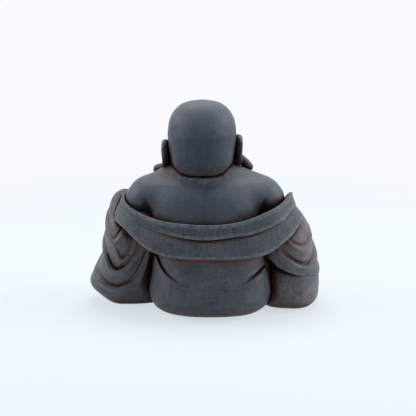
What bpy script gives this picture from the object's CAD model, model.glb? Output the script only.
# A seated laughing-buddha figure in cast stone, seen from behind as in the photograph.
# It is put together from its base up: hips, torso, head, ears, shawl, hands, sleeves, feet, legs, sash, felt pads.
# Each casting is modelled as clay: a field of distances, in millimetres, that is negative inside the stone.
import itertools
import math

import bpy
import numpy as np
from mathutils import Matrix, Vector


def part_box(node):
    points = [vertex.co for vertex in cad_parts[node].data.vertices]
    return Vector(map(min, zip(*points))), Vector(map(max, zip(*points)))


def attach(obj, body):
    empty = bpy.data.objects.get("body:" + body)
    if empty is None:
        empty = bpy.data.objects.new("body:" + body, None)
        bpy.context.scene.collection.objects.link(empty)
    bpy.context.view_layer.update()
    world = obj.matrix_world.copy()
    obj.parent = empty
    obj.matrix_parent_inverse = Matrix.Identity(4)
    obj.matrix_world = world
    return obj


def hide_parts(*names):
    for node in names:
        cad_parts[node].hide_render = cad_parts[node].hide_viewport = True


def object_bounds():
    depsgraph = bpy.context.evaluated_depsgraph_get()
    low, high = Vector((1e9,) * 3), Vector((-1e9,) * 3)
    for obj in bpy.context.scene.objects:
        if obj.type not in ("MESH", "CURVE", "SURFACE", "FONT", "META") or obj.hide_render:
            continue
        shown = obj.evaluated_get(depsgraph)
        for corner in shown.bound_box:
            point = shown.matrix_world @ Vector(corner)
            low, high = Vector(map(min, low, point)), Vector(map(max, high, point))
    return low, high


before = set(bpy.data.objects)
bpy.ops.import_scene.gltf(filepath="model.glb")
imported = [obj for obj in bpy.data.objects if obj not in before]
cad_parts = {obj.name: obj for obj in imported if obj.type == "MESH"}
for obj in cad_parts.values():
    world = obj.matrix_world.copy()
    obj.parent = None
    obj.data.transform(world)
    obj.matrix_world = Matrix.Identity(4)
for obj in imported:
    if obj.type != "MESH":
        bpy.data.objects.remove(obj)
cad_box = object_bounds()


# Hips: the trousered seat that carries the whole figure. One solid casting with a flat base, rounded at the floor,
# with two folds cut where the cloth pulls across the back. The torso is bedded in cement in the hollow of its top.
HIP_MIDDLE = (-3.5, 3.0)
HIP_HALF = (39.5, 39.0)
WAIST = 45.0
CEMENT = 0.12  # what shows of a joint between two castings
SLACK = 1.5  # how far a casting may pass the box of its CAD node, inside the whole figure's box
REAR_PAD = 0.48  # where the rear pad lies behind the middle of the hips, as a share of their half depth

# The figure is modelled about its own middle. The rear pad says where that lies in the frame, the hips how high.
pad_low, pad_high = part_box("felt_pad_rear")
FIGURE = np.array([
    500 * (pad_low[0] + pad_high[0]) - HIP_MIDDLE[0],
    500 * (pad_low[1] + pad_high[1]) - HIP_MIDDLE[1] - REAR_PAD * HIP_HALF[1],
    1000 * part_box("hips")[0][2],
])


def smooth_rows(rows):
    """Smooth columns between the rows of a short table, whose first column is the height."""
    at = np.array([row[0] for row in rows], float)
    values = np.array([row[1:] for row in rows], float)
    slope = np.empty_like(values)
    slope[1:-1] = (values[2:] - values[:-2]) / (at[2:] - at[:-2])[:, None]
    slope[0] = (values[1] - values[0]) / (at[1] - at[0])
    slope[-1] = (values[-1] - values[-2]) / (at[-1] - at[-2])
    fine = np.linspace(at[0], at[-1], 500)
    i = np.clip(np.searchsorted(at, fine, "right") - 1, 0, len(at) - 2)
    span = (at[i + 1] - at[i])[:, None]
    t = ((fine - at[i])[:, None]) / span
    table = (
        values[i] * (2 * t**3 - 3 * t**2 + 1) + span * slope[i] * (t**3 - 2 * t**2 + t)
        + values[i + 1] * (3 * t**2 - 2 * t**3) + span * slope[i + 1] * (t**3 - t**2)
    )
    return lambda height: [np.interp(height, fine, column) for column in table.T]


def blend(a, b, soft):
    """Two lumps of clay joined, with the crease between them filled over the given width."""
    near = np.maximum(soft - np.abs(a - b), 0) / soft
    return np.minimum(a, b) - near * near * soft / 4


def carve(a, tool, soft):
    """Clay with a tool's shape taken out of it, and the lips of the cut rounded."""
    return -blend(-a, tool, soft)


def ball(x, y, z, middle, half):
    """A rounded lump with the given half sizes."""
    a, b, c = ((p - m) / h for p, m, h in zip((x, y, z), middle, half))
    inner = np.sqrt(a * a + b * b + c * c) + 1e-6
    outer = np.sqrt((a / half[0]) ** 2 + (b / half[1]) ** 2 + (c / half[2]) ** 2) + 1e-9
    return inner * (inner - 1) / outer


def smooth_line(points, count):
    """Even points on a smooth line through the given ones. Extra columns, such as a radius, go along with them."""
    points = np.array(points, float)
    along = np.concatenate([[0], np.cumsum(np.linalg.norm(np.diff(points[:, :3], axis=0), axis=1))])
    at = smooth_rows([(s, *p) for s, p in zip(along, points)])
    return np.stack(at(np.linspace(0, along[-1], count)), 1)


def limb(x, y, z, points, count):
    """A round limb along a smooth line. Each point is x, y, height and radius."""
    line = smooth_line(points, count)
    far = None
    for a, b in zip(line[:-1], line[1:]):
        ab = b[:3] - a[:3]
        t = ((x - a[0]) * ab[0] + (y - a[1]) * ab[1] + (z - a[2]) * ab[2]) / (ab @ ab + 1e-9)
        t = np.clip(t, 0, 1)
        d = np.sqrt((x - a[0] - t * ab[0]) ** 2 + (y - a[1] - t * ab[1]) ** 2 + (z - a[2] - t * ab[2]) ** 2)
        d = d - (a[3] + t * (b[3] - a[3]))
        far = d if far is None else np.minimum(far, d)
    return far


def level_oval(dx, dy, half_width, half_depth, power):
    """Distance outside a slightly boxy oval, measured level from its middle."""
    share = (np.abs(dx / half_width) ** power + np.abs(dy / half_depth) ** power) ** (1 / power) + 1e-6
    return np.hypot(dx, dy) * (1 - 1 / share)


def ridge(off, width):
    """1 on a line, fading smoothly to 0 at about twice the given width from it."""
    return np.exp(-((off / width) ** 2))


def hand_work(x, y, z):
    """The slight unevenness of a hand-made master, a few tenths of a millimetre."""
    slow = np.sin(0.23 * x + 0.9) * np.sin(0.19 * y + 0.3) * np.sin(0.21 * z + 1.7)
    quick = np.sin(0.61 * x + 2.1) * np.sin(0.53 * y + 1.1) * np.sin(0.57 * z + 0.4)
    return 0.22 * slow + 0.1 * quick


hip_rows = smooth_rows([
    (0, 0.84, 0.75), (0.07 * WAIST, 0.93, 0.885), (0.155 * WAIST, 0.975, 0.955), (0.28 * WAIST, 1, 1),
    (0.53 * WAIST, 0.965, 0.965), (0.75 * WAIST, 0.925, 0.885), (WAIST, 0.885, 0.83),
])


# Each fold is a line across the back: x, height and depth. The cloth is full below it and slack above it.
HIP_FOLDS = [smooth_rows(fold) for fold in (
    [(4, 21.4, 0), (8, 21.8, 0.3), (15.7, 23.6, 1.0), (21.9, 26.9, 1.6), (26, 30.2, 2.0), (29, 34.5, 2.0),
     (31.5, 38.5, 1.7), (34, 43, 1.5)],
    [(-39, 30.9, 0), (-36.6, 29.5, 2.0), (-33.6, 28, 2.8), (-31, 26.8, 2.4), (-26.7, 24.6, 1.3),
     (-21.6, 22.6, 0.4), (-18, 21.6, 0)],
)]


def hips_body(x, y, z):
    width, depth = hip_rows(z)
    dx, dy = x - HIP_MIDDLE[0], y - HIP_MIDDLE[1]
    clay = level_oval(dx, dy, HIP_HALF[0] * width, HIP_HALF[1] * depth, 2.35) + hand_work(x, y, z)
    return carve(np.maximum(clay, -z), WAIST - z, 2.0)


def hips_clay(x, y, z):
    clay = hips_body(x, y, z)
    for fold in HIP_FOLDS:
        height, depth = fold(x)
        slope = fold(x + 0.5)[0] - fold(x - 0.5)[0]
        below = (height - z) / np.sqrt(1 + slope * slope)
        depth = np.where(y > HIP_MIDDLE[1], depth, 0)
        groove = ridge(below, 0.65) + 0.3 * ridge(below + 2.6, 2.4)
        clay = clay + depth * (groove - 0.45 * ridge(below - 3.6, 3.2))
    return np.maximum(clay, -z)


CORNERS = list(itertools.product((0, 1), repeat=3))  # of a cell of a grid


def skin(clay, low, high, pitch):
    """The closed surface of a piece of clay between two corners, as points and outward quads."""
    # a coarse grid finds the blocks near the surface, and only those are filled on the fine grid
    step = 4
    count = np.ceil((high - low) / (pitch * step)).astype(int)
    axes = [(low[k] + pitch * np.arange(count[k] * step + 1)).astype(np.float32) for k in range(3)]
    coarse = clay(*np.meshgrid(*(axis[::step] for axis in axes), indexing="ij"))
    near = np.abs(coarse) < pitch * step * 1.5
    block = np.zeros(count, bool)
    for corner in CORNERS:
        block |= near[tuple(slice(c, c + n) for c, n in zip(corner, count))]
    field, wanted = coarse[:-1, :-1, :-1], block
    for k in range(3):
        field, wanted = np.repeat(field, step, k), np.repeat(wanted, step, k)
    field = np.pad(field, [(0, 1)] * 3, mode="edge")
    wanted = np.pad(wanted, [(0, 1)] * 3)
    for k in range(3):
        wanted = wanted | np.roll(wanted, 1, k)
    where = np.nonzero(wanted)
    field[where] = clay(*(axis[i] for axis, i in zip(axes, where)))
    for k in range(3):
        ends = [slice(None)] * 3
        for end in (0, -1):
            ends[k] = end
            field[tuple(ends)] = np.maximum(field[tuple(ends)], pitch)
    # one point in each cell that the surface passes through, at the mean of its crossings
    inside = field < 0
    mixed = np.zeros([n - 1 for n in field.shape], np.int8)
    for c in CORNERS:
        mixed += inside[tuple(slice(o, n - 1 + o) for o, n in zip(c, field.shape))]
    cells = np.argwhere((mixed > 0) & (mixed < 8))
    number = np.full(mixed.shape, -1)
    number[tuple(cells.T)] = np.arange(len(cells))
    total, hits = np.zeros((len(cells), 3)), np.zeros(len(cells))
    for a, b in itertools.combinations(CORNERS, 2):
        a, b = np.array(a), np.array(b)
        if np.abs(a - b).sum() != 1:
            continue
        fa, fb = field[tuple((cells + a).T)], field[tuple((cells + b).T)]
        crossed = (fa < 0) != (fb < 0)
        t = np.where(crossed, fa / np.where(crossed, fa - fb, 1), 0)
        total += np.where(crossed[:, None], a + t[:, None] * (b - a), 0)
        hits += crossed
    points = low + pitch * (cells + total / hits[:, None])
    # one quad round each grid edge that the surface crosses
    quads = []
    for k in range(3):
        one, two = (k + 1) % 3, (k + 2) % 3
        lower = [slice(None)] * 3
        upper = [slice(None)] * 3
        lower[k], upper[k] = slice(0, -1), slice(1, None)
        start = inside[tuple(lower)]
        edges = np.argwhere(start != inside[tuple(upper)])
        ring = []
        for o, t in ((1, 1), (0, 1), (0, 0), (1, 0)):
            cell = edges.copy()
            cell[:, one] -= o
            cell[:, two] -= t
            ring.append(number[tuple(cell.T)])
        ring = np.stack(ring, 1)
        leaving = start[tuple(edges.T)]
        quads.append(np.where(leaving[:, None], ring, ring[:, ::-1]))
    quads = np.concatenate(quads)
    # the points settle on the surface itself
    gap = 0.2 * pitch
    for _ in range(3):
        here = clay(*points.T)
        slope = np.stack([(clay(*(points + gap * np.eye(3)[k]).T) - here) / gap for k in range(3)], 1)
        move = here[:, None] * slope / (np.sum(slope * slope, 1) + 0.05)[:, None]
        size = np.linalg.norm(move, axis=1)[:, None] + 1e-9
        points = points - move * np.minimum(1, 0.4 * pitch / size)
    return points, quads


def in_figure(box):
    """The two corners of a box of the frame, in the figure's millimetres."""
    return [1000 * np.array(corner) - FIGURE for corner in box]


def place_object(name, data):
    """A new object in the scene."""
    made = bpy.data.objects.new(name, data)
    bpy.context.scene.collection.objects.link(made)
    return made


clays = {}
castings = {}
finishes = {}


def add_casting(name, clay, pitch, finish, *beds):
    """The finished casting of a CAD node: its clay, cut back by the castings that it is bedded on.

    The finish is how much pale dry brush it has, and how much of the rust-brown undercoat shows through.
    """
    clays[name] = clay
    finishes[name] = finish
    own_box, whole_box = in_figure(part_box(name)), in_figure(cad_box)
    least = np.maximum(own_box[0] - SLACK, whole_box[0])
    most = np.minimum(own_box[1] + SLACK, whole_box[1])

    def cut_clay(x, y, z):
        whole = clay(x, y, z)
        for bed in beds:
            whole = np.maximum(whole, CEMENT - clays[bed](x, y, z))
        for p, a, b in zip((x, y, z), least, most):
            whole = np.maximum(whole, np.maximum(a - p, p - b))
        return whole

    points, quads = skin(cut_clay, least - 1, most + 1, pitch * (1))
    used = main_island(len(points), quads)
    points, quads = points[used], np.cumsum(used)[quads[used[quads[:, 0]]]] - 1
    mesh = bpy.data.meshes.new(name + "_casting")
    mesh.from_pydata((0.001 * (points + FIGURE)).tolist(), [], quads.tolist())
    mesh.shade_smooth()
    piece = place_object(name + "_casting", mesh)
    mesh.materials.append(painted_stone)
    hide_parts(name)
    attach(piece, "root")
    castings[name] = piece


def main_island(count, quads):
    """Which points belong to the largest connected surface. Crumbs left by a cut are dropped."""
    label = np.arange(count)
    while True:
        lowest = label[quads].min(1)
        new = label.copy()
        for k in range(4):
            np.minimum.at(new, quads[:, k], lowest)
        new = new[new]
        if (new == label).all():
            break
        label = new
    return label == np.bincount(label).argmax()


def node(tree, kind, *feeds, **settings):
    """One node of a tree. Feeds go to its inputs in order, and settings to the input or property that they name."""
    made = tree.nodes.new(kind)
    for key in [key for key in settings if key not in made.inputs]:
        setattr(made, key, settings.pop(key))
    for key, value in (*enumerate(feeds), *settings.items()):
        if isinstance(value, bpy.types.NodeSocket):
            tree.links.new(value, made.inputs[key])
        elif value is not None:
            made.inputs[key].default_value = value
    return made


BEFORE_TONES = [None] * 5  # a mix node's inputs between its share and its two tones


def make_painted_stone():
    """Matt slate paint, dry-brushed over a rust-brown undercoat that stays in the hollows."""
    material = bpy.data.materials.new("painted_stone")
    material.use_nodes = True
    tree = material.node_tree
    tree.nodes.clear()
    place = node(tree, "ShaderNodeTexCoord").outputs["Object"]
    recess, wash, edge, brush, rust = (
        node(tree, "ShaderNodeAttribute", attribute_name=label).outputs["Fac"]
        for label in ("recess", "wash", "edge", "brush", "rust")
    )

    def noise(scale, detail, rough=0.55, stretch=(1, 1, 1)):
        lie = node(tree, "ShaderNodeMapping", place, Scale=stretch).outputs[0]
        return node(tree, "ShaderNodeTexNoise", lie, Scale=scale, Detail=detail, Roughness=rough).outputs["Fac"]

    def ramp(value, low, high, first=0.0, last=1.0):
        smooth = {"clamp": True, "interpolation_type": "SMOOTHSTEP"}
        return node(tree, "ShaderNodeMapRange", value, low, high, first, last, **smooth).outputs["Result"]

    def combine(operation, a, b):
        return node(tree, "ShaderNodeMath", a, b, operation=operation, use_clamp=True).outputs[0]

    def times(a, b):
        return combine("MULTIPLY", a, b)

    def mix(share, *tones):
        tones = [(*tone, 1) if isinstance(tone, tuple) else tone for tone in tones]
        return node(tree, "ShaderNodeMix", share, *BEFORE_TONES, *tones, data_type="RGBA").outputs[2]

    # the slate coat, and the paler one brushed over it, greyer on the robe than on the skin
    slate = mix(ramp(noise(42, 5), 0.34, 0.66), (0.034, 0.046, 0.063), (0.053, 0.070, 0.094))
    robe = mix(ramp(noise(60, 6, 0.65), 0.36, 0.62), (0.084, 0.100, 0.122), (0.190, 0.174, 0.178))
    skin_tone = (0.105, 0.132, 0.170)
    slate = mix(brush, slate, mix(rust, skin_tone, robe))
    # brush marks, upright and level, and a fine dark speckle
    light_mark, dark_mark, speckle = (0.150, 0.168, 0.195), (0.014, 0.017, 0.022), (0.016, 0.018, 0.023)
    strength = ramp(rust, 0.2, 0.9, 0.08, 0.36)
    for lie, share in (((760, 760, 60), 1.0), ((110, 400, 640), 0.6)):
        marks = times(strength, share)
        for scale, tone in ((1, light_mark), (1.3, dark_mark)):
            slate = mix(times(ramp(noise(scale, 3, 0.6, lie), 0.5, 0.7), marks), slate, tone)
    slate = mix(ramp(noise(760, 3, 0.75), 0.52, 0.74, 0, 0.6), slate, speckle)
    # patches rubbed through to the undercoat, and edges that caught the brush
    rubbed, edge_tone = (0.135, 0.074, 0.060), (0.185, 0.200, 0.225)
    worn = times(ramp(noise(75, 7, 0.72), 0.52, 0.66), ramp(noise(420, 4, 0.7), 0.36, 0.6))
    slate = mix(times(worn, times(rust, 0.85)), slate, rubbed)
    brushed = times(ramp(edge, 0.12, 0.5), ramp(noise(380, 5, 0.7), 0.34, 0.62))
    slate = mix(times(brushed, 0.7), slate, edge_tone)
    # the undercoat left in the hollows: wide valleys are dark, narrow grooves rusty, and joints nearly black
    undercoat = mix(rust, (0.022, 0.024, 0.028), (0.150, 0.064, 0.046))
    valley_tone = mix(rust, (0.015, 0.019, 0.025), (0.024, 0.015, 0.013))
    joint_tone = (0.010, 0.008, 0.008)
    stain = times(ramp(wash, 0.2, 0.5), ramp(noise(110, 6, 0.7), 0.36, 0.6, 0.1, 1))
    paint = mix(times(stain, 0.85), slate, undercoat)
    paint = mix(ramp(wash, 0.5, 0.85, 0, 0.8), paint, valley_tone)
    narrow = times(rust, ramp(wash, 0.42, 0.7, 1, 0.35))
    groove_tone = mix(narrow, (0.024, 0.020, 0.020), (0.130, 0.052, 0.036))
    hollow = times(ramp(recess, 0.16, 0.46), ramp(noise(260, 5, 0.65), 0.28, 0.6, 0.3, 1))
    paint = mix(hollow, paint, groove_tone)
    paint = mix(ramp(recess, 0.5, 0.92), paint, joint_tone)
    # pinholes of the casting, and its fine grain
    pinhole = (0.014, 0.012, 0.012)
    pits = node(tree, "ShaderNodeTexVoronoi", place, Scale=230.0, Randomness=1.0).outputs
    chosen = node(tree, "ShaderNodeSeparateColor", pits["Color"]).outputs
    few = ramp(chosen[0], 0.93, 0.94)
    width = ramp(chosen[1], 0.0, 1.0, 0.05, 0.17)
    hole = times(combine("LESS_THAN", pits["Distance"], width), few)
    paint = mix(times(hole, 0.85), paint, pinhole)
    rough = ramp(noise(120, 4), 0.3, 0.7, 0.40, 0.56)
    grain = combine("ADD", times(noise(700, 4), 0.5), times(noise(160, 3), 0.5))
    height = combine("SUBTRACT", grain, times(hole, 0.8))
    bump = node(tree, "ShaderNodeBump", Strength=0.35, Distance=0.0006, Height=height).outputs[0]
    shader = node(tree, "ShaderNodeBsdfPrincipled", paint, Roughness=rough, Normal=bump)
    shader.inputs["Specular IOR Level"].default_value = 0.18
    node(tree, "ShaderNodeOutputMaterial", shader.outputs[0])
    return material


painted_stone = make_painted_stone()


# Torso: the bare back, shoulders and upper arms, the soft chest and the round belly. One casting, with a socket for
# the neck. Its rounded foot beds in the hips, and its arms end in the sleeves.
HEAD = (1.9, -2.0)  # where the neck rises
TORSO_FOOT, NECK_TOP = 36.0, 92.0
SHOULDER, ELBOW = (35.5, 7, 70, 14.8), (43, -2, 44, 12.8)  # out from the middle, back, height and radius
BELLY, BELLY_HALF = (0, -15, 40), (41, 35, 30)
BREAST, BREAST_HALF = (16, -19, 70), (17, 11.5, 11)
SKIN_FINISH = (0, 0.12)
trunk_rows = smooth_rows([
    (TORSO_FOOT, 23.7, 17.8), (40.5, 33.5, 26.3), (45.5, 39.6, 34.1), (55.6, 41.3, 35.5), (65.1, 42.1, 33.4),
    (74.6, 43.0, 28.8), (81.4, 43.0, 21.6), (86.4, 34.0, 14.2), (NECK_TOP, 15.5, 9.9),
])


def torso_clay(x, y, z):
    width, depth = trunk_rows(z)
    clay = level_oval(x, y - 2, width, depth, 2.0)
    clay = np.maximum(clay, np.maximum(TORSO_FOOT - z, z - NECK_TOP))
    for side in (-1, 1):
        arm = [(side * out, *rest) for out, *rest in (SHOULDER, ELBOW)]
        clay = blend(clay, limb(x, y, z, arm, 2), 4.0)
    clay = blend(clay, ball(x, y, z, BELLY, BELLY_HALF), 5.0)
    for side in (-1, 1):
        clay = blend(clay, ball(x, y, z, (side * BREAST[0], *BREAST[1:]), BREAST_HALF), 4.0)
        armpit = [(side * 36.2, 21.4, 56, 3.4), (side * 36.2, 21.4, 62.5, 3.0), (side * 36.8, 21.4, 67.5, 1.6),
                  (side * 37.6, 21.6, 72, 0.3)]
        clay = carve(clay, limb(x, y, z, armpit, 7), 3.0)
    spine = limb(x, y, z, [(0, 27, 84, 3), (0, 35.3, 74, 3), (0, 39.6, 62, 3), (0, 41.2, 52, 3)], 6)
    clay = carve(clay, spine, 6.0)
    clay = blend(clay, ball(x, y, z, (HEAD[0], HEAD[1] - 1, 85), (29, 16, 9.5)), 4.0)
    nape = limb(x, y, z, [(-12, 15.6, 85.8, 1.4), (1.8, 20.4, 84.4, 2.0), (15, 15.4, 85.8, 1.4)], 5)
    clay = blend(clay, nape, 3.0)
    nape_line = limb(x, y, z, [(-9, 22.2, 82.6, 0.5), (1.8, 24.0, 82.2, 0.9), (12, 22.0, 82.6, 0.5)], 5)
    clay = carve(clay, nape_line, 1.6)
    navel = ball(x, y, z, (0, -50.4, 37), (3, 2.6, 2.3))
    return carve(clay + hand_work(x, y, z), navel, 1.6)


# the hips are cast once the torso that beds in them has its shape
clays["torso"] = torso_clay
add_casting("hips", hips_clay, 0.5, (0.35, 0.9), "torso")


# Head: a smooth shaved head with a calm, closed-eyed face, sunk a little into the shoulders. One casting on a peg
# that goes down into the torso. The face is a general one, built on the usual proportions of a head.
CHIN, CROWN = 77.0, 132.8
HEAD_HALF = (22.0, 25.0)
EYE = CHIN + 0.46 * (CROWN - CHIN)
NOSE = CHIN + 0.30 * (CROWN - CHIN)
MOUTH = CHIN + 0.19 * (CROWN - CHIN)
skull_rows = smooth_rows([
    (CHIN + share * (CROWN - CHIN), HEAD_HALF[0] * width, HEAD_HALF[1] * front, HEAD_HALF[1] * back)
    for share, width, front, back in (  # heights and half sizes, as shares
        (0, 0.36, 0.68, 0.4), (0.08, 0.62, 0.92, 0.68), (0.18, 0.76, 1, 0.83), (0.29, 0.865, 1.02, 0.92),
        (0.43, 0.945, 1, 0.98), (0.55, 0.985, 0.99, 1), (0.65, 0.985, 0.965, 0.975), (0.79, 0.92, 0.86, 0.86),
        (0.895, 0.755, 0.7, 0.69), (0.965, 0.5, 0.46, 0.47), (1, 0.16, 0.15, 0.16),
    )
])


def on_face(degrees, z, lift, radius):
    """A point of the face at a turn from its middle, lifted off the skull, with a radius."""
    width, front, _ = (float(v) for v in skull_rows(z))
    turn = math.radians(degrees)
    reach = (abs(math.sin(turn) / width) ** 2.15 + abs(math.cos(turn) / front) ** 2.15) ** (-1 / 2.15) + lift
    return (HEAD[0] + reach * math.sin(turn), HEAD[1] - reach * math.cos(turn), z, radius)


def head_clay(x, y, z):
    def lump(degrees, height, lift, half):
        return ball(x, y, z, on_face(degrees, height, lift, 0)[:3], half)

    width, front, back = skull_rows(z)
    dx, dy = x - HEAD[0], y - HEAD[1]
    clay = level_oval(dx, dy, width, np.where(dy < 0, front, back), 2.15)
    clay = carve(np.maximum(clay, CHIN - z), CROWN - z, 3.0)
    for side in (-1, 1):
        jowl = ball(x, y, z, (HEAD[0] + side * 13.6, HEAD[1] - 9, CHIN + 13), (8.6, 11, 12))
        clay = blend(clay, jowl, 5.0)
        cheek = lump(side * 33, NOSE + 1.4, -5.0, (7.4, 7, 6.2))
        clay = blend(clay, cheek, 3.0)
        socket = lump(side * 21, EYE + 0.8, 2.0, (6.6, 4.4, 3.8))
        clay = carve(clay, socket, 2.2)
        brow = [on_face(side * a, EYE + h, lift, r) for a, h, lift, r in (
            (6, 4.0, -0.7, 1.5), (14, 6.0, -0.5, 1.7), (25, 6.4, -0.8, 1.6), (37, 3.8, -1.2, 1.2))]
        clay = blend(clay, limb(x, y, z, brow, 9), 1.6)
        eyeball = lump(side * 21, EYE - 0.2, -3.4, (6.0, 4.6, 3.1))
        clay = blend(clay, eyeball, 0.7)
        lash = [on_face(side * a, EYE + h, -0.2, 0.62) for a, h in (
            (7, 0.2), (13, -1.7), (21, -2.5), (29, -1.9), (37, 0.4))]
        clay = blend(clay, limb(x, y, z, lash, 11), 0.6)
        lid = [on_face(side * a, EYE + h, 0.2, 0.42) for a, h in (
            (7, -0.4), (13, -2.7), (21, -3.6), (29, -2.9), (37, -0.2))]
        clay = carve(clay, limb(x, y, z, lid, 11), 0.5)
        bag = [on_face(side * a, EYE + h, -0.9, 0.9) for a, h in ((10, -4.2), (20, -5.4), (31, -4.2))]
        clay = blend(clay, limb(x, y, z, bag, 7), 1.2)
    nose = [on_face(0, EYE + 4.4, -1.0, 1.9), on_face(0, EYE - 1, 0.7, 2.0), on_face(0, NOSE + 4.6, 1.9, 2.5),
            on_face(0, NOSE + 1.8, 2.6, 3.1)]
    clay = blend(clay, limb(x, y, z, nose, 9), 2.0)
    for side in (-1, 1):
        wing = lump(side * 8.8, NOSE + 1.2, 0.5, (2.3, 2.6, 2.0))
        clay = blend(clay, wing, 1.5)
        nostril = lump(side * 4.6, NOSE - 1.2, 2.4, (1.0, 1.5, 0.7))
        clay = carve(clay, nostril, 0.5)
        laugh = [on_face(side * a, h, 1.1, 0.7) for a, h in (
            (15, NOSE + 1.8), (21, NOSE - 1.0), (27, MOUTH + 3.4), (29, MOUTH + 0.6))]
        clay = carve(clay, limb(x, y, z, laugh, 9), 2.4)
    groove = [on_face(0, NOSE - 2, 1.2, 0.9), on_face(0, MOUTH + 3, 0.9, 0.9)]
    clay = carve(clay, limb(x, y, z, groove, 3), 1.0)
    upper = [on_face(a, MOUTH + h, lift, 1.15) for a, h, lift in (
        (-21, 2.4, -1.3), (-11, 1.6, -0.3), (-4, 1.9, 0.1), (0, 1.5, 0), (4, 1.9, 0.1), (11, 1.6, -0.3),
        (21, 2.4, -1.3))]
    lower = [on_face(a, MOUTH + h, lift, 1.35) for a, h, lift in (
        (-17, 0.5, -1.2), (-8, -1.2, -0.3), (0, -1.7, 0), (8, -1.2, -0.3), (17, 0.5, -1.2))]
    clay = blend(clay, limb(x, y, z, upper, 13), 1.5)
    clay = blend(clay, limb(x, y, z, lower, 9), 1.7)
    smile = [on_face(a, MOUTH + h, 1.0, 0.5) for a, h in (
        (-25, 3.4), (-17, 1.3), (-8, 0.2), (0, 0.1), (8, 0.2), (17, 1.3), (25, 3.4))]
    clay = carve(clay, limb(x, y, z, smile, 13), 0.5)
    under_lip = [on_face(a, MOUTH - 4.6, 0.9, 1.1) for a in (-9, 0, 9)]
    clay = carve(clay, limb(x, y, z, under_lip, 5), 2.0)
    chin = lump(0, CHIN + 4.2, -3.4, (6.6, 5.4, 4))
    clay = blend(clay, chin, 2.4)
    peg = limb(x, y, z, [(*HEAD, CHIN + 10, 8), (*HEAD, CHIN - 3.6, 8)], 2)
    return np.minimum(clay + 0.6 * hand_work(x, y, z), peg)


clays["head"] = head_clay
add_casting("torso", torso_clay, 0.8, SKIN_FINISH, "head")
add_casting("head", head_clay, 0.5, (0, 0.25))


# Ears: long ears set flat against the head, with a rolled rim, a hollow and a heavy lobe that turns out on to the
# shoulder. Each is a small casting with a peg in the side of the head. The right one sits a little higher.
EAR_STEP = 1.6  # how far the right ear sits above the middle, and the left one below
EAR_OUT = 22.6  # from the middle of the head
EAR_FINISH = (0, 0.8)


def ear_clay(side):
    low = CHIN + 0.36 * (CROWN - CHIN) - EAR_STEP * side
    root = HEAD[0] + side * EAR_OUT
    # how far the lobe turns out and hangs, and where its turn starts: the left one lies flatter
    flare, drop, start = (5.6, -8.6, 0.8) if side > 0 else (7.0, -10.2, 0.4)

    def clay(x, y, z):
        ear = ball(x, y, z, (root + side * 0.3, -3.6, low + 4.2), (2.9, 6.6, 7.6))
        rim = [(root + side * out, back, low + up, radius) for out, back, up, radius in (
            (0.6, -8.6, 3.0, 1.1), (1.2, -7.4, 8.2, 1.3), (1.6, -3.0, 10.2, 1.4), (1.8, 1.2, 7.6, 1.5),
            (1.7, 2.0, 3.0, 1.5), (1.0, -0.4, -2.0, 1.7), (0.8, -3.0, -5.2, 2.2),
        )]
        ear = blend(ear, limb(x, y, z, rim, 14), 0.9)
        hollow = ball(x, y, z, (root + side * 3.6, -3.8, low + 3.6), (2.4, 3.2, 4.8))
        ear = carve(ear, hollow, 0.9)
        lobe = [(root + side * out, back, low + up, radius) for out, back, up, radius in (
            (0.3, -2.6, -2.0, 2.5), (-0.6, -3.4, -6.0, 2.5), (-0.9, -4.2, -9.6, 2.7),
        )]
        ear = blend(ear, limb(x, y, z, lobe, 6), 1.2)
        turned = [(root + side * flare * out, back, low + drop * down, radius) for out, back, down, radius in (
            (0.3, -7.0, start, 2.6), (0.66, -9.0, 0.5 + start / 2, 3.1), (1, -9.8, 1, 3.3),
        )]
        ear = blend(ear, limb(x, y, z, turned, 7), 1.2)
        peg_z = low + 4.6
        peg = limb(x, y, z, [(root + side * 0.6, -4, peg_z, 2), (root - side * 4.4, -4, peg_z, 2)], 2)
        return np.minimum(ear, peg)

    return clay


add_casting("left_ear", ear_clay(1), 0.4, EAR_FINISH, "head", "torso")
add_casting("right_ear", ear_clay(-1), 0.4, EAR_FINISH, "head", "torso")


# Shawl: the robe has slipped from the shoulders and crosses the back as a wide band with a turned-down collar.
# Both are thin castings, hollowed to fit the back and arms, with rounded hems. The collar lies over the band.
BAND_MIDDLE = (-2.0, 2.0)
BAND_HALF = (62.6, 39.0)
BAND_FOOT = 36.2
BAND_POWER = 2.1  # 2 is an oval, and more is boxier
BAND_THICK = 12.0  # before the back and arms are hollowed out of it
BAND_REACH = 122  # degrees from the middle of the back to each end
LEAN = 0.12  # inwards, with height
LAP = 4.0  # how far the band goes up behind the collar
COLLAR_PROUD = 2.1
COLLAR_EDGE = 2.1  # thickness of its upper edge
SHAWL_TOP = 60.7  # at the middle of the back
# Each row is a turn from the middle of the back towards the left, and the heights of the hem, the collar's edge and
# the top there. The shawl runs up over both arms and down again in front of them.
shawl_rows = smooth_rows([
    (-124, 50.2, 52.4, 54.6), (-116, 53.6, 57.6, 61.8), (-106, 56.2, 62.3, 69.6), (-90, 57.3, 66.5, 74.2),
    (-74, 54.4, 66.2, 73.8), (-60, 49.8, 64, 72.2), (-48, 45.6, 60.5, 69.9), (-36, 41.1, 57.3, 67.2),
    (-24, 39.3, 54.3, 63.9), (-12, 38.7, 53, 61.5), (0, 38.9, 51.5, SHAWL_TOP), (12, 39.2, 52.3, 61.2),
    (24, 40.2, 54.4, 61.9), (36, 43.4, 56.4, 63.6), (48, 48.8, 59.3, 66.1), (60, 53.7, 63.5, 68.6),
    (74, 56.2, 66.2, 71.3), (90, 57.6, 67.2, 73.6), (106, 56.8, 63.6, 70.2), (116, 54.2, 58.4, 62.8),
    (124, 50.6, 53, 55.4),
])


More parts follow.
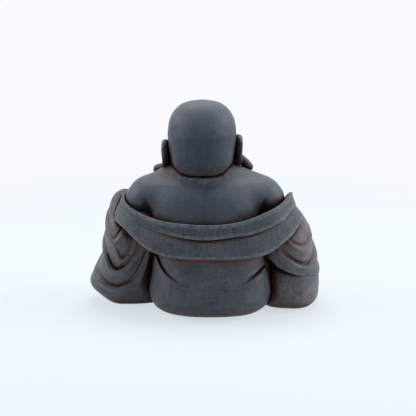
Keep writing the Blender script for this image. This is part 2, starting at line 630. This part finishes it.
def on_shawl(x, y, z):
    """Where a point lies on the shawl: its turn, how far outside the cloth's lie it is, and the heights there."""
    lean = -LEAN * (z - BAND_FOOT)
    u, v = (x - BAND_MIDDLE[0]) / (BAND_HALF[0] + lean), (y - BAND_MIDDLE[1]) / (BAND_HALF[1] + lean)
    share = (np.abs(u) ** BAND_POWER + np.abs(v) ** BAND_POWER) ** (1 / BAND_POWER) + 1e-6
    u, v = u / share, v / share
    half = BAND_POWER / 2
    turn = np.degrees(np.arctan2(np.sign(u) * np.abs(u) ** half, np.sign(v) * np.abs(v) ** half))
    out = np.hypot(x - BAND_MIDDLE[0], y - BAND_MIDDLE[1]) * (1 - 1 / share)
    # over the arms it is tucked in to the shoulders, and in front of them its ends dive into the sleeves
    rise = np.maximum(z - SHAWL_TOP, 0)
    tuck = 7.2 * (1 - np.exp(-rise / 5)) * np.maximum(-u, 0) ** 4 + 0.3 * rise * np.maximum(u, 0) ** 4
    dive = np.minimum(0.1 * np.maximum(np.abs(turn) - 97, 0) ** 1.5, 4.5)
    return turn, out + tuck + dive, shawl_rows(turn)


def strip(z, turn, out, low, high, thick, soft):
    """A strip of cloth between two heights, with rounded edges."""
    side = np.abs(out + thick / 2) - thick / 2
    updown = (np.abs(z - (low + high) / 2) - (high - low) / 2) * 0.94
    a, b = side + soft, np.maximum(updown, (np.abs(turn) - BAND_REACH) * 0.9) + soft
    return np.hypot(np.maximum(a, 0), np.maximum(b, 0)) + np.minimum(np.maximum(a, b), 0) - soft


def left_merge(turn):
    """The collar dies away into the band on the left: 0 where it stands clear and 1 where it has gone."""
    share = np.clip((turn - 14) / 30, 0, 1)
    return share * share * (3 - 2 * share)


def collar_clay(x, y, z):
    turn, out, (_, tier, top) = on_shawl(x, y, z)
    up = (z - tier) / np.maximum(top - tier, 1)
    crease = 0.35 * ridge(up - 0.5 - 0.12 * np.sin(turn / 17), 0.14)
    crease = crease * (0.5 + 0.5 * np.sin(turn / 29 + 1))
    lip = 0.4 * ridge(up - 0.93, 0.1)
    out = out - COLLAR_PROUD * (1 - 0.85 * left_merge(turn)) + 0.25 * np.sin(turn / 13 + 0.5) + crease - lip
    thick = COLLAR_EDGE + np.clip(top - z, 0, 10)
    return strip(z, turn, out, tier, top, thick, 0.9)


def band_clay(x, y, z):
    turn, out, (hem, tier, top) = on_shawl(x, y, z)
    up = (z - hem) / np.maximum(tier - hem, 1)
    pull = 0.6 * ridge(up - 0.5 - 0.004 * turn, 0.22) * (0.5 - 0.5 * np.cos(turn / 14))
    stitch = 0.35 * ridge(up - 0.16, 0.06)
    shade = 0.9 * ridge(z - tier + 0.4, 1.3) * (1 - left_merge(turn))
    out = out + 0.3 * np.sin(turn / 11 + 2) + pull + stitch + shade
    return strip(z, turn, out, hem, tier + np.minimum(LAP, 0.8 * (top - tier)), BAND_THICK, 1.1)


add_casting("shawl_collar", collar_clay, 0.5, (0.25, 0.9), "torso")
add_casting("shawl_band", band_clay, 0.5, (0.4, 0.9), "torso", "hips", "shawl_collar")


# Hands: laid on the knees with the fingers over the edge. Small castings whose wrists go into the sleeves.
KNEE = 32.0
HAND = (47, -37, KNEE + 1.5)  # the middle of the left hand's back
HAND_LENGTH = 22
LIMB_FINISH = (0.2, 0.4)


def hand_clay(side):
    px, py, pz = side * HAND[0], *HAND[1:]

    def clay(x, y, z):
        hand = limb(x, y, z, [(side * 51, -21.6, pz + 5, 6.2), (px, py, pz, 5.4)], 3)
        hand = blend(hand, ball(x, y, z, (px, py, pz), (8.4, 7, 4.4)), 3.0)
        for finger in range(4):
            spread = (finger - 1.5) * 4
            reach = HAND_LENGTH * (0.62 - abs(finger - 1.3) * 0.05)
            route = [(px + spread * 0.9, py - 3.3, pz + 0.6, 2.3), (px + spread, py - reach * 0.65, pz - 1.6, 2.25),
                     (px + spread * 1.05, py - reach, pz - 7, 1.85)]
            hand = blend(hand, limb(x, y, z, route, 7), 0.9)
            nail = ball(x, y, z, (px + spread * 1.05, py - reach - 1.75, pz - 6.2), (1.15, 0.5, 1.5))
            hand = carve(hand, nail, 0.3)
        thumb = [(px - side * 5, py + 4, pz, 2.8), (px - side * 10.5, py - 2, pz - 2.4, 2.6),
                 (px - side * 11.5, py - 7.5, pz - 5, 2.0)]
        return blend(hand, limb(x, y, z, thumb, 7), 1.4)

    return clay


add_casting("left_hand", hand_clay(1), 0.45, LIMB_FINISH, "torso")
add_casting("right_hand", hand_clay(-1), 0.45, LIMB_FINISH, "torso")


# Sleeves: the robe hangs from both arms in deep nested swags. The left one falls to the ground over the leg, and
# the right one ends in a slanting hem above it. Each is one casting, bedded on the arm and against the hips.
SLEEVE_MIDDLE = 53.0
LEFT_TOP, RIGHT_TOP = 74, 67
# Each row is a height, how far the sleeve reaches out from the figure's middle, its front and its back, and how far
# the cloth runs in behind the arm.
LEFT_SLEEVE = smooth_rows([
    (0, 63.2, -31, 2, 31), (1.5, 65.8, -32, 3.5, 31), (5, 69.9, -33.5, 6, 31), (8.2, 73.2, -34, 8, 31),
    (12, 75.4, -34.5, 10, 31), (16, 75, -34.5, 12, 31), (24, 70.6, -33.5, 15, 31), (34, 66.7, -31.5, 18, 31),
    (43.4, 65, -30, 19.5, 30), (49, 64.4, -28.5, 18.5, 26), (53, 64, -27.5, 13, 22), (57, 63.4, -26, 7, 18),
    (62.5, 62.2, -23.5, 3, 12), (68.5, 60, -19.5, 0, 8), (71.5, 57.5, -17, -3, 6), (74, 53.5, -12, -7, 4),
])
RIGHT_SLEEVE = smooth_rows([
    (17, 74.6, -36, 17, 31), (25.8, 74, -36, 19, 31), (30.8, 72.6, -35, 20, 31), (35.8, 71, -34, 20.5, 31),
    (42.8, 69.2, -32.5, 20, 30), (48, 67.8, -31, 18.5, 26), (51.4, 66.6, -30, 15, 22), (55.7, 64.8, -28, 8, 18),
    (61, 60.4, -25, 3, 12), (64, 57.8, -22, 0, 9), (67, 55, -18, -4, 6),
])
RIGHT_HEM = smooth_rows([  # how far out from the figure's middle, and how high
    (30, 36.7), (41, 33.4), (46, 29.3), (52.7, 25.6), (58, 23.5), (67, 21.7), (71, 20.3), (75, 17.8),
])
# Each fold is a line on the cloth: degrees round the sleeve from its outside towards the back, height and depth.
LEFT_FOLDS = [
    [(-60, 64.7, 0), (-10, 61.7, 0.9), (28, 55.7, 1.5), (66, 47.5, 2.0), (80, 49.7, 1.8), (94, 53.7, 1.4),
     (106, 59.7, 0)],
    [(68, 45.7, 0), (83, 39.2, 1.3), (90, 35.7, 1.6), (97, 37.7, 1.5), (103, 42.7, 1.2), (110, 49.7, 0)],
    [(-75, 55.7, 0), (-30, 51.7, 0.9), (6, 44.7, 1.5), (46, 36.7, 1.9), (72, 28.5, 2.4), (85, 27.7, 2.6),
     (94, 30.2, 2.5), (104, 36.2, 2.2), (112, 41.7, 1.8), (119, 47.7, 0)],
    [(-80, 40.7, 0), (-35, 35.7, 0.9), (0, 27.7, 1.3), (44, 21.2, 1.6), (70, 16.2, 1.9), (84, 15.3, 2.1),
     (94, 17.1, 2.1), (102, 19.7, 2.0), (111, 26.2, 1.8), (119.5, 35.2, 1.2), (125, 41.7, 0)],
    [(-75, 20.7, 0), (-30, 16.7, 1.0), (5, 11.7, 1.0), (34, 5.7, 0)],
]
RIGHT_FOLDS = [
    [(-60, 60.7, 0), (-15, 54.7, 0.9), (20, 48.2, 1.3), (40, 44.5, 1.8), (58, 42.7, 1.9), (73, 43.9, 1.7),
     (84, 45.7, 1.4), (102, 49.7, 0)],
    [(-75, 50.7, 0), (-30, 45.7, 1.0), (9, 37.4, 1.6), (30, 34.2, 1.9), (43, 32.2, 2.1), (57, 30.5, 2.3),
     (76, 32.9, 2.3), (90, 36.7, 2.0), (99, 40.7, 1.5), (110, 45.7, 0)],
    [(-75, 34.7, 0), (-30, 29.7, 1.0), (0, 25.7, 0.8), (25, 23.2, 0)],
]


def valley(x, y, z):
    """1 against the hips and 0 away from them, to round off what lies beside them."""
    return ridge(hips_body(x, y, z), 4.0)


def sleeve_clay(side, rows, folds, high, hem):
    lines = [smooth_rows(fold) for fold in folds]

    def clay(x, y, z):
        reach, front, back, tuck = rows(z)
        middle = (front + back) / 2
        dx, dy = side * x - SLEEVE_MIDDLE, y - middle
        inward = np.where(dy > 0, tuck, np.minimum(tuck, 18))
        half_width = np.where(dx > 0, reach - SLEEVE_MIDDLE, inward)
        half_depth = (back - front) / 2
        cloth = level_oval(dx, dy, half_width, half_depth, 2.2)
        around = np.degrees(np.arctan2(dy / half_depth, dx / half_width))
        for line in lines:
            height, depth = line(around)
            slope = (line(around + 1)[0] - line(around - 1)[0]) / 0.85
            off = (z - height) / np.sqrt(1 + slope * slope)
            # a sharp groove, slack above it, and the full roll of cloth below it
            cloth = cloth + depth * (ridge(off, 1.1) + 0.3 * ridge(off - 3.2, 2.6) - 0.7 * ridge(off + 3.0, 2.0))
        cloth = cloth + hand_work(x, y, z) + 1.3 * valley(x, y, z)
        cuff = limb(x, y, z, [(side * 49.8, -24, 37.8, 8.4), (side * 47, -42, 33.5, 10.5)], 2)
        cloth = carve(cloth, cuff, 2.0)
        cloth = np.maximum(cloth, hem(side * x)[0] - z if hem else -z)
        return carve(cloth, high - z, 2.5)

    return clay


left_sleeve_clay = sleeve_clay(1, LEFT_SLEEVE, LEFT_FOLDS, LEFT_TOP, None)
add_casting("left_sleeve", left_sleeve_clay, 0.5, (0.8, 1), "torso", "hips", "shawl_band", "shawl_collar",
            "left_hand")


# Feet: bare feet side by side in front, with round toes and cut nails. Small castings, bonded to the ends of the
# shins. They are shaped before the legs, which are cut to fit them.
FOOT_LENGTH, FOOT_RADIUS = 24, 6.2
ANKLE_LINE = -46


def foot_clay(side):
    def clay(x, y, z):
        sole = [(side * 11.8, -44, 6.2, FOOT_RADIUS), (side * 10.4, -51, 5.6, 5.6), (side * 9.5, -56.8, 5.0, 5.0)]
        foot = limb(x, y, z, sole, 5)
        for toe in range(5):
            radius = FOOT_RADIUS * (0.33 - toe * 0.03)
            tx = side * 9.5 + side * (toe - 1.6) * 2.6
            ty = ANKLE_LINE - FOOT_LENGTH * (0.68 - toe * 0.035)
            route = [(tx, ty + 4, radius + 1.6, radius), (tx, ty - 1.2, radius + 0.5, radius)]
            foot = blend(foot, limb(x, y, z, route, 3), 0.8)
            nail_half = (radius * 0.6, radius * 0.6, radius * 0.35)
            nail = ball(x, y, z, (tx, ty - radius - 0.4, 2 * radius + 0.2), nail_half)
            foot = carve(foot, nail, 0.3)
        return np.maximum(foot, -z)

    return clay


add_casting("left_foot", foot_clay(1), 0.45, LIMB_FINISH, "hips")
add_casting("right_foot", foot_clay(-1), 0.45, LIMB_FINISH, "hips")


# Legs: thick folded legs in trousers, with a flat base, whose shins come in to the ankles in front. One casting
# each. The right knee shows below its sleeve; the left one shows only in front, because the sleeve covers it.
FOOT_LINE = -53.0
LEFT_KNEE, RIGHT_KNEE = 49, -56.5
LEFT_DEPTH, RIGHT_DEPTH = 48, 72
LEG_HALF, LEG_TUCK = 18.5, 30.0  # half width, and how far the back of a leg runs in under the hips
leg_rows = smooth_rows([
    (0, 0.8, 0.83), (3.2, 0.95, 0.93), (10.2, 1, 1), (18.2, 0.98, 0.98), (25.3, 0.85, 0.88), (29.8, 0.6, 0.66),
    (32, 0.3, 0.36),
])


def leg_clay(side, knee_x, depth):
    middle = FOOT_LINE + depth / 2

    def clay(x, y, z):
        width, length = leg_rows(z)
        inward = (side * (x - knee_x) < 0) & (y > middle)
        half = np.where(inward, LEG_TUCK, LEG_HALF) * width
        leg = level_oval(x - knee_x, y - middle, half, depth / 2 * length, 2.3)
        leg = carve(np.maximum(leg, -z), KNEE - z, 2.0)
        shin = limb(x, y, z, [(knee_x - side * 6, FOOT_LINE + 15.6, 12, 12), (side * 30.4, -45, 10.2, 10.2),
                              (side * 17.1, -46, 9.4, 8.9)], 9)
        leg = blend(leg, shin, 3.5)
        cuff = limb(x, y, z, [(side * 19.5, -54.5, 4, 1.2), (side * 18.5, -55.4, 10, 1.2),
                              (side * 19, -52, 16.5, 1.2), (side * 19.5, -44, 18.2, 1.2)], 8)
        leg = blend(leg, cuff, 1.2)
        leg = leg + hand_work(x, y, z) + valley(x, y, z)
        return np.maximum(leg, -z)

    return clay


right_leg_clay = leg_clay(-1, RIGHT_KNEE, RIGHT_DEPTH)
left_leg_clay = leg_clay(1, LEFT_KNEE, LEFT_DEPTH)
add_casting("right_leg", right_leg_clay, 0.7, (1, 1), "torso", "hips", "right_hand", "right_foot")
add_casting("left_leg", left_leg_clay, 0.7, (1, 1), "torso", "hips", "left_sleeve", "left_hand", "left_foot")
# the right sleeve lies over its leg, so it is cast after it
right_sleeve_clay = sleeve_clay(-1, RIGHT_SLEEVE, RIGHT_FOLDS, RIGHT_TOP, RIGHT_HEM)
add_casting("right_sleeve", right_sleeve_clay, 0.5, (0.9, 1), "torso", "hips", "shawl_band", "shawl_collar",
            "right_hand", "right_leg")


# Sash: the rolled waist of the trousers, which passes under the belly and is knotted in front. One slim casting.
SASH_RADIUS = 3.4
SASH_HALF = 41  # half its span


def sash_clay(x, y, z):
    front, low = -44.1, 17.8
    route = []
    for share in (-0.86, -0.62, -0.3, 0, 0.3, 0.62, 0.86):
        climb = abs(share) ** 2.6
        route.append((SASH_HALF * share, front + 29.75 * climb, low + 13.2 * climb, SASH_RADIUS))
    roll = limb(x, y, z, route, 17)
    roll = roll + 0.35 * np.sin(0.9 * x + 1.4 * z) * np.clip(np.abs(x) / 8, 0, 1)
    knot = ball(x, y, z, (0, front - 1.3, low), (5.4, 4, 4.6))
    return blend(roll, knot, 0.8)


add_casting("waist_sash", sash_clay, 0.5, (0.6, 1), "torso", "hips", "left_leg", "right_leg")


# The wash: the undercoat stays in the hollows and the dry brush catches the edges. Both are measured on the whole
# figure and kept with each casting's points, for its paint.
MARGIN = 16  # how far off the figure its hollows are measured


def whole_figure():
    """Distances to the nearest casting, on a grid of 1 mm steps over the figure."""
    low, high = in_figure(cad_box)
    low, high = low - MARGIN, high + MARGIN
    axes = [np.arange(a, b, 1.0).astype(np.float32) for a, b in zip(low, high)]
    field = np.full([len(axis) for axis in axes], MARGIN, np.float32)
    for name in castings:
        span = [slice(*np.searchsorted(axis, (p - MARGIN, q + MARGIN)))
                for axis, p, q in zip(axes, *in_figure(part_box(name)))]
        grid = np.meshgrid(*(axis[s] for axis, s in zip(axes, span)), indexing="ij")
        field[tuple(span)] = np.minimum(field[tuple(span)], clays[name](*grid))
    base = axes[2] + FIGURE[2] + 4  # the floor counts for less than the figure's own hollows
    return low, np.minimum(field, base[None, None, :])


def sample(field, low, points):
    """Values of a grid of 1 mm steps at the given points."""
    at = np.clip(points - low, 0, np.array(field.shape) - 1.001)
    i = at.astype(int)
    t = at - i
    total = 0
    for corner in CORNERS:
        weight = np.prod(np.where(corner, t, 1 - t), 1)
        total = total + weight * field[tuple((i + corner).T)]
    return total


grid_low, figure_field = whole_figure()
for name, piece in castings.items():
    mesh = piece.data
    points = np.empty(3 * len(mesh.vertices))
    normals = np.empty(3 * len(mesh.vertices))
    mesh.vertices.foreach_get("co", points)
    mesh.vertex_normals.foreach_get("vector", normals)
    points, normals = 1000 * points.reshape(-1, 3) - FIGURE, normals.reshape(-1, 3)
    depths = {h: sample(figure_field, grid_low, points + h * normals) / h for h in (-3, -1.5, 1.5, 3, 6, 10, 14)}
    recess = 1 - 0.3 * depths[1.5] - 0.35 * depths[3] - 0.35 * depths[6]
    wash = 1 - 0.3 * depths[6] - 0.35 * depths[10] - 0.35 * depths[14]
    edge = 1 - 0.5 * depths[-1.5] - 0.5 * depths[-3]
    brush, rust = finishes[name]
    if name.endswith("ear"):  # dark behind, where no brush comes, and pale on top
        wash = wash + 0.4 * np.clip(normals[:, 1] + 0.3 - 1.2 * normals[:, 2], 0, 1)
        brush = brush + 0.8 * np.clip((normals[:, 2] - 0.1) / 0.5, 0, 1)
        rust = rust * np.clip((100 - points[:, 2]) / 12, 0.08, 1)
    if name == "torso":  # the shoulders are brushed where they face up
        shoulder = np.clip(np.abs(points[:, 0]) / 26, 0, 1)
        brush = brush + 0.85 * shoulder * np.clip((normals[:, 2] + 0.1) / 0.7, 0, 1)
    if name == "head":  # so is the crown, and the undercoat shows low down at the back
        brush = brush + 0.85 * np.clip((normals[:, 2] - 0.08) / 0.4, 0, 1)
        rust = rust + 0.45 * np.clip(1 - (points[:, 2] - 80) / 24, 0, 1) * np.clip(normals[:, 1] + 0.2, 0, 1)
    if name in ("torso", "head"):  # rust on both sides of the neck
        beside = np.clip((np.abs(points[:, 0] - HEAD[0]) - 7) / 8, 0, 1)
        rust = rust + 0.75 * beside * np.clip(1 - np.abs(points[:, 2] - 88) / 9, 0, 1)
    brush, rust = (np.broadcast_to(v, len(points)) for v in (brush, rust))
    for label, values in (("recess", recess), ("wash", wash), ("edge", edge), ("brush", brush), ("rust", rust)):
        kept = mesh.attributes.new(label, "FLOAT", "POINT")
        kept.data.foreach_set("value", np.clip(values, 0, 1).astype(np.float32))


# Felt pads: four dark pressed-felt discs, die-cut and glued under the base so that it doesn't scratch the shelf.
# One Geometry Nodes tree makes the disc, and each pad sets its own place and size in it.
def make_felt():
    material = bpy.data.materials.new("felt")
    material.use_nodes = True
    tree = material.node_tree
    shader = tree.nodes["Principled BSDF"]
    shader.inputs["Roughness"].default_value = 0.95
    shader.inputs["Sheen Weight"].default_value = 0.3
    place = node(tree, "ShaderNodeTexCoord").outputs["Object"]
    fibre = node(tree, "ShaderNodeTexNoise", place, Scale=900.0, Detail=5.0, Roughness=0.7, Distortion=1.5)
    tone = node(tree, "ShaderNodeValToRGB", fibre.outputs["Fac"])
    tone.color_ramp.elements[0].color = (0.016, 0.016, 0.017, 1)
    tone.color_ramp.elements[1].color = (0.05, 0.05, 0.052, 1)
    bump = node(tree, "ShaderNodeBump", Strength=0.6, Distance=0.0004, Height=fibre.outputs["Fac"])
    tree.links.new(tone.outputs[0], shader.inputs["Base Color"])
    tree.links.new(bump.outputs[0], shader.inputs["Normal"])
    return material


def pad_tree(felt):
    """A Geometry Nodes tree that turns one point into a felt disc of the given radius and thickness."""
    tree = bpy.data.node_groups.new("felt_disc", "GeometryNodeTree")
    sockets = {}
    for label, kind in (("Place", "Geometry"), ("Radius", "Float"), ("Thickness", "Float")):
        made = tree.interface.new_socket(label, in_out="INPUT", socket_type="NodeSocket" + kind)
        sockets[label] = made.identifier
    tree.interface.new_socket("Disc", in_out="OUTPUT", socket_type="NodeSocketGeometry")
    given = node(tree, "NodeGroupInput").outputs
    # a flat cylinder, whose die-cut rim is frayed a little by noise
    disc = node(tree, "GeometryNodeMeshCylinder", Vertices=72, Radius=given["Radius"], Depth=given["Thickness"],
                fill_type="TRIANGLE_FAN", **{"Side Segments": 4, "Fill Segments": 6}).outputs["Mesh"]
    spot = node(tree, "GeometryNodeInputPosition").outputs[0]
    fibre = node(tree, "ShaderNodeTexNoise", spot, Scale=2400.0, Detail=2.0).outputs["Fac"]
    drawn_in = node(tree, "ShaderNodeMath", fibre, -0.05, 1.0, operation="MULTIPLY_ADD").outputs[0]
    level = node(tree, "ShaderNodeCombineXYZ", drawn_in, drawn_in, 1.0).outputs[0]
    moved = node(tree, "ShaderNodeVectorMath", spot, level, operation="MULTIPLY").outputs[0]
    frayed = node(tree, "GeometryNodeSetPosition", disc, Position=moved).outputs[0]
    put = node(tree, "GeometryNodeInstanceOnPoints", given["Place"], Instance=frayed).outputs[0]
    real = node(tree, "GeometryNodeRealizeInstances", put).outputs[0]
    coat = node(tree, "GeometryNodeSetMaterial", real, Material=felt).outputs[0]
    node(tree, "NodeGroupOutput", coat)
    return tree, sockets


felt = make_felt()
felt_disc, disc_sockets = pad_tree(felt)
for name in ("felt_pad_rear", "felt_pad_front", "felt_pad_left", "felt_pad_right"):
    low, high = (np.array(corner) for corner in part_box(name))
    seed = bpy.data.meshes.new(name + "_place")
    seed.from_pydata([tuple((low + high) / 2)], [], [])
    maker = place_object(name + "_place", seed)
    grown = maker.modifiers.new("felt_disc", "NODES")
    grown.node_group = felt_disc
    grown[disc_sockets["Radius"]] = float(high[0] - low[0]) / 2
    grown[disc_sockets["Thickness"]] = float(high[2] - low[2])
    made = maker.evaluated_get(bpy.context.evaluated_depsgraph_get())
    mesh = bpy.data.meshes.new_from_object(made)
    mesh.name = name + "_disc"
    bpy.data.objects.remove(maker)
    piece = place_object(name + "_disc", mesh)
    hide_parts(name)
    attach(piece, "root")


# Stage: a plain pale floor that runs out of view, a white surround, and soft light from above and both sides.
def watched(tree):
    """1 for what the camera sees, directly or in a reflection, and 0 for what only lights the figure."""
    path = node(tree, "ShaderNodeLightPath").outputs
    total = path["Is Camera Ray"]
    for kind in ("Is Glossy Ray", "Is Transmission Ray"):
        total = node(tree, "ShaderNodeMath", total, path[kind], operation="ADD", use_clamp=True).outputs[0]
    return total


FLOOR = 4.0  # half its side, in metres
floor_mesh = bpy.data.meshes.new("floor")
floor_mesh.from_pydata(
    [(-FLOOR, -FLOOR, 0), (FLOOR, -FLOOR, 0), (FLOOR, FLOOR, 0), (-FLOOR, FLOOR, 0)], [], [(0, 1, 2, 3)])
floor = place_object("floor", floor_mesh)
floor_paint = bpy.data.materials.new("pale_floor")
floor_paint.use_nodes = True
tree = floor_paint.node_tree
tree.nodes.clear()
near_tint, far_tint = (0.85, 0.925, 0.975, 1), (0.94, 0.955, 1, 1)
lit = node(tree, "ShaderNodeBsdfDiffuse", (0.82, 0.88, 0.94, 1)).outputs[0]
spot = node(tree, "ShaderNodeTexCoord").outputs["Object"]
away = node(tree, "ShaderNodeVectorMath", spot, operation="LENGTH").outputs["Value"]
far = node(tree, "ShaderNodeMapRange", away, 0.1, 0.6, clamp=True, interpolation_type="SMOOTHSTEP").outputs[0]
tint = node(tree, "ShaderNodeMix", far, *BEFORE_TONES, near_tint, far_tint, data_type="RGBA").outputs[2]
plain = node(tree, "ShaderNodeEmission", tint, Strength=1.0).outputs[0]
own = node(tree, "ShaderNodeMapRange", far, 0, 1, 0.7, 1, clamp=True).outputs[0]
shown = node(tree, "ShaderNodeMath", own, watched(tree), operation="MULTIPLY").outputs[0]
mixed = node(tree, "ShaderNodeMixShader", shown, lit, plain).outputs[0]
node(tree, "ShaderNodeOutputMaterial", mixed)
floor_mesh.materials.append(floor_paint)

world = bpy.data.worlds.new("white_surround")
bpy.context.scene.world = world
world.use_nodes = True
sky = world.node_tree
dim = sky.nodes["Background"]
dim.inputs["Color"].default_value = (0.95, 0.97, 1, 1)
dim.inputs["Strength"].default_value = 0.1
white = node(sky, "ShaderNodeBackground", (0.95, 0.96, 1, 1)).outputs[0]
choose = node(sky, "ShaderNodeMixShader", watched(sky), dim.outputs[0], white)
sky.links.new(choose.outputs[0], sky.nodes["World Output"].inputs[0])


def soft_box(name, place, size, watts):
    light = bpy.data.lights.new(name, "AREA")
    light.shape = "RECTANGLE"
    light.size, light.size_y = size
    light.energy = watts
    lamp = place_object(name, light)
    lamp.location = place
    along, across, down = np.array([0, 0.01, 0.06]) - np.array(place)  # aimed at the middle of the figure
    lamp.rotation_euler = (
        math.atan2(math.hypot(along, across), -down), 0, math.atan2(across, along) - math.pi / 2)


soft_box("top_box", (0, -0.24, 0.8), (0.6, 0.5), 4.9)
soft_box("left_box", (0.72, 0.0, 0.42), (0.6, 0.6), 3.7)
soft_box("right_box", (-0.72, 0.0, 0.42), (0.6, 0.6), 4.9)

# Camera: straight behind the figure and a little above it, as the photograph was taken.
DISTANCE, TILT = 0.8, math.radians(12)
PHOTO_WIDTH, PIXELS_PER_MM = 416, 1.559  # the photograph's width and its scale at the figure
OFF_MIDDLE = (3, 4)  # how many pixels the figure lies off the middle of the photograph
SENSOR = 36
target = np.array([FIGURE[0], FIGURE[1], 62.0]) / 1000
camera = place_object("camera", bpy.data.cameras.new("camera"))
camera.location = target + DISTANCE * np.array([0, math.cos(TILT), math.sin(TILT)])
camera.rotation_euler = (math.pi / 2 - TILT, 0, math.pi)
camera.data.sensor_width = SENSOR
camera.data.lens = SENSOR * DISTANCE / (PHOTO_WIDTH / PIXELS_PER_MM / 1000)
camera.data.shift_x, camera.data.shift_y = (pixels / PHOTO_WIDTH for pixels in OFF_MIDDLE)
bpy.context.scene.camera = camera
bpy.context.scene.view_settings.view_transform = "Standard"
